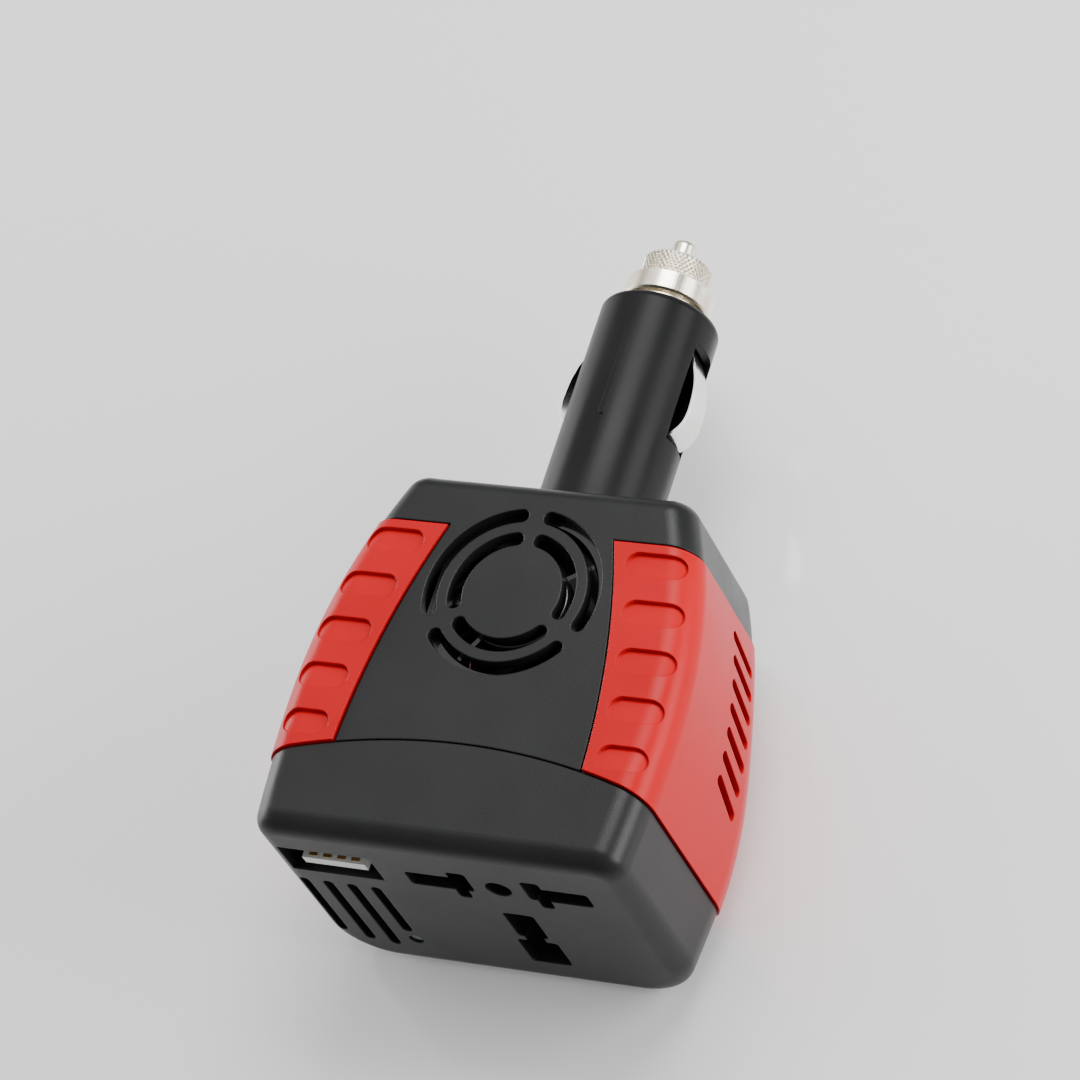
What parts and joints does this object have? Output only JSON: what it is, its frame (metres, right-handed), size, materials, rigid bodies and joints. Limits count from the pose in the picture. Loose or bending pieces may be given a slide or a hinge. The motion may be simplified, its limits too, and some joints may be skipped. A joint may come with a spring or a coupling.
{
  "type": "power inverter",
  "caption": "Pocket power inverter: tapered black housing with red side grips, fan grille, USB port, universal mains outlet and a folding 12 V vehicle plug.",
  "frame": {"origin": "middle of the flat patch on the housing's back, which it rests on", "axes": "+Z out of the front face with the fan grille, +Y along the straight plug towards its tip, +X to the right seen from the front with the plug up"},
  "size_m": [0.0698, 0.1284, 0.0484],
  "materials": {
    "black_plastic": "fine spark-eroded texture, satin black",
    "plug_plastic": "smooth satin black",
    "red_plastic": "smooth satin red",
    "nickel": "bright nickel plate, slightly brushed",
    "brass": "plain brass",
    "steel": "zinc-plated steel",
    "fuse_glass": "clear glass",
    "wire": "soft wire sleeve",
    "nylon": "glass-filled nylon",
    "fan_plastic": "gloss black moulding",
    "ferrite": "sintered ferrite",
    "copper": "enamelled copper",
    "usb_plastic": "white tongue",
    "board": "solder mask",
    "led": "tinted lens",
    "tape": "polyester tape",
    "aluminium": "extruded, plain",
    "epoxy": "moulded epoxy",
    "sleeve": "printed-free shrink sleeve"
  },
  "bodies": {
    "housing": {"front_shell": "black_plastic", "back_shell": "black_plastic", "end_cap": "black_plastic", "left_grip": "red_plastic", "right_grip": "red_plastic", "supply_leads": "wire", "pivot_bushes": "nylon", "fan_frame": "fan_plastic", "fan_stator": "copper", "fan_screws": "steel", "case_screws": "steel", "board_screws": "steel", "socket_block": "nylon", "live_clip": "brass", "neutral_clip": "brass", "earth_clip": "brass", "usb_shell": "nickel", "usb_tongue": "usb_plastic", "usb_board": "board", "status_led": "led", "main_board": "board", "transformer_core": "ferrite", "transformer_coil": "tape", "heatsink": "aluminium", "transistors": "epoxy", "capacitors": "sleeve", "control_chips": "epoxy"},
    "plug": {"plug_front_half": "plug_plastic", "plug_back_half": "plug_plastic", "plug_ring": "nickel", "plug_collar": "steel", "rear_contact": "brass", "plug_leads": "wire", "tip_spring": "steel"},
    "fan": {"fan_rotor": "fan_plastic", "fan_magnet": "ferrite", "fan_shaft": "steel"},
    "tip": {"tip_pin": "nickel", "fuse_glass": "fuse_glass", "fuse_caps": "nickel"},
    "nut": {"tip_nut": "nickel"},
    "left_contact": {"left_side_contact": "nickel"},
    "right_contact": {"right_side_contact": "nickel"}
  },
  "joints": [
    {"name": "plug_fold", "type": "hinge", "parent": "housing", "child": "plug", "pos_m": [0, 0.047, 0.0278], "axis": [-1, 0, 0], "range_deg": [0, 90]},
    {"name": "fan_spin", "type": "hinge", "parent": "housing", "child": "fan", "pos_m": [0, 0.0372, 0.042], "axis": [0, 0, 1], "continuous": true},
    {"name": "tip_press", "type": "slide", "parent": "plug", "child": "tip", "axis": [0, -1, 0], "range_m": [0, 0.003], "stiffness_N_per_m": 700, "springref_m": -0.002, "deforming": ["tip_spring"]},
    {"name": "nut_turn", "type": "hinge", "parent": "plug", "child": "nut", "pos_m": [0, 0.109, 0.0278], "axis": [0, 1, 0], "range_deg": [0, 1080]},
    {"name": "left_contact_press", "type": "slide", "parent": "plug", "child": "left_contact", "axis": [1, 0, 0], "range_m": [0, 0.0013], "stiffness_N_per_m": 1500, "springref_m": -0.0006},
    {"name": "right_contact_press", "type": "slide", "parent": "plug", "child": "right_contact", "axis": [-1, 0, 0], "range_m": [0, 0.0013], "stiffness_N_per_m": 1500, "springref_m": -0.0006}
  ]
}
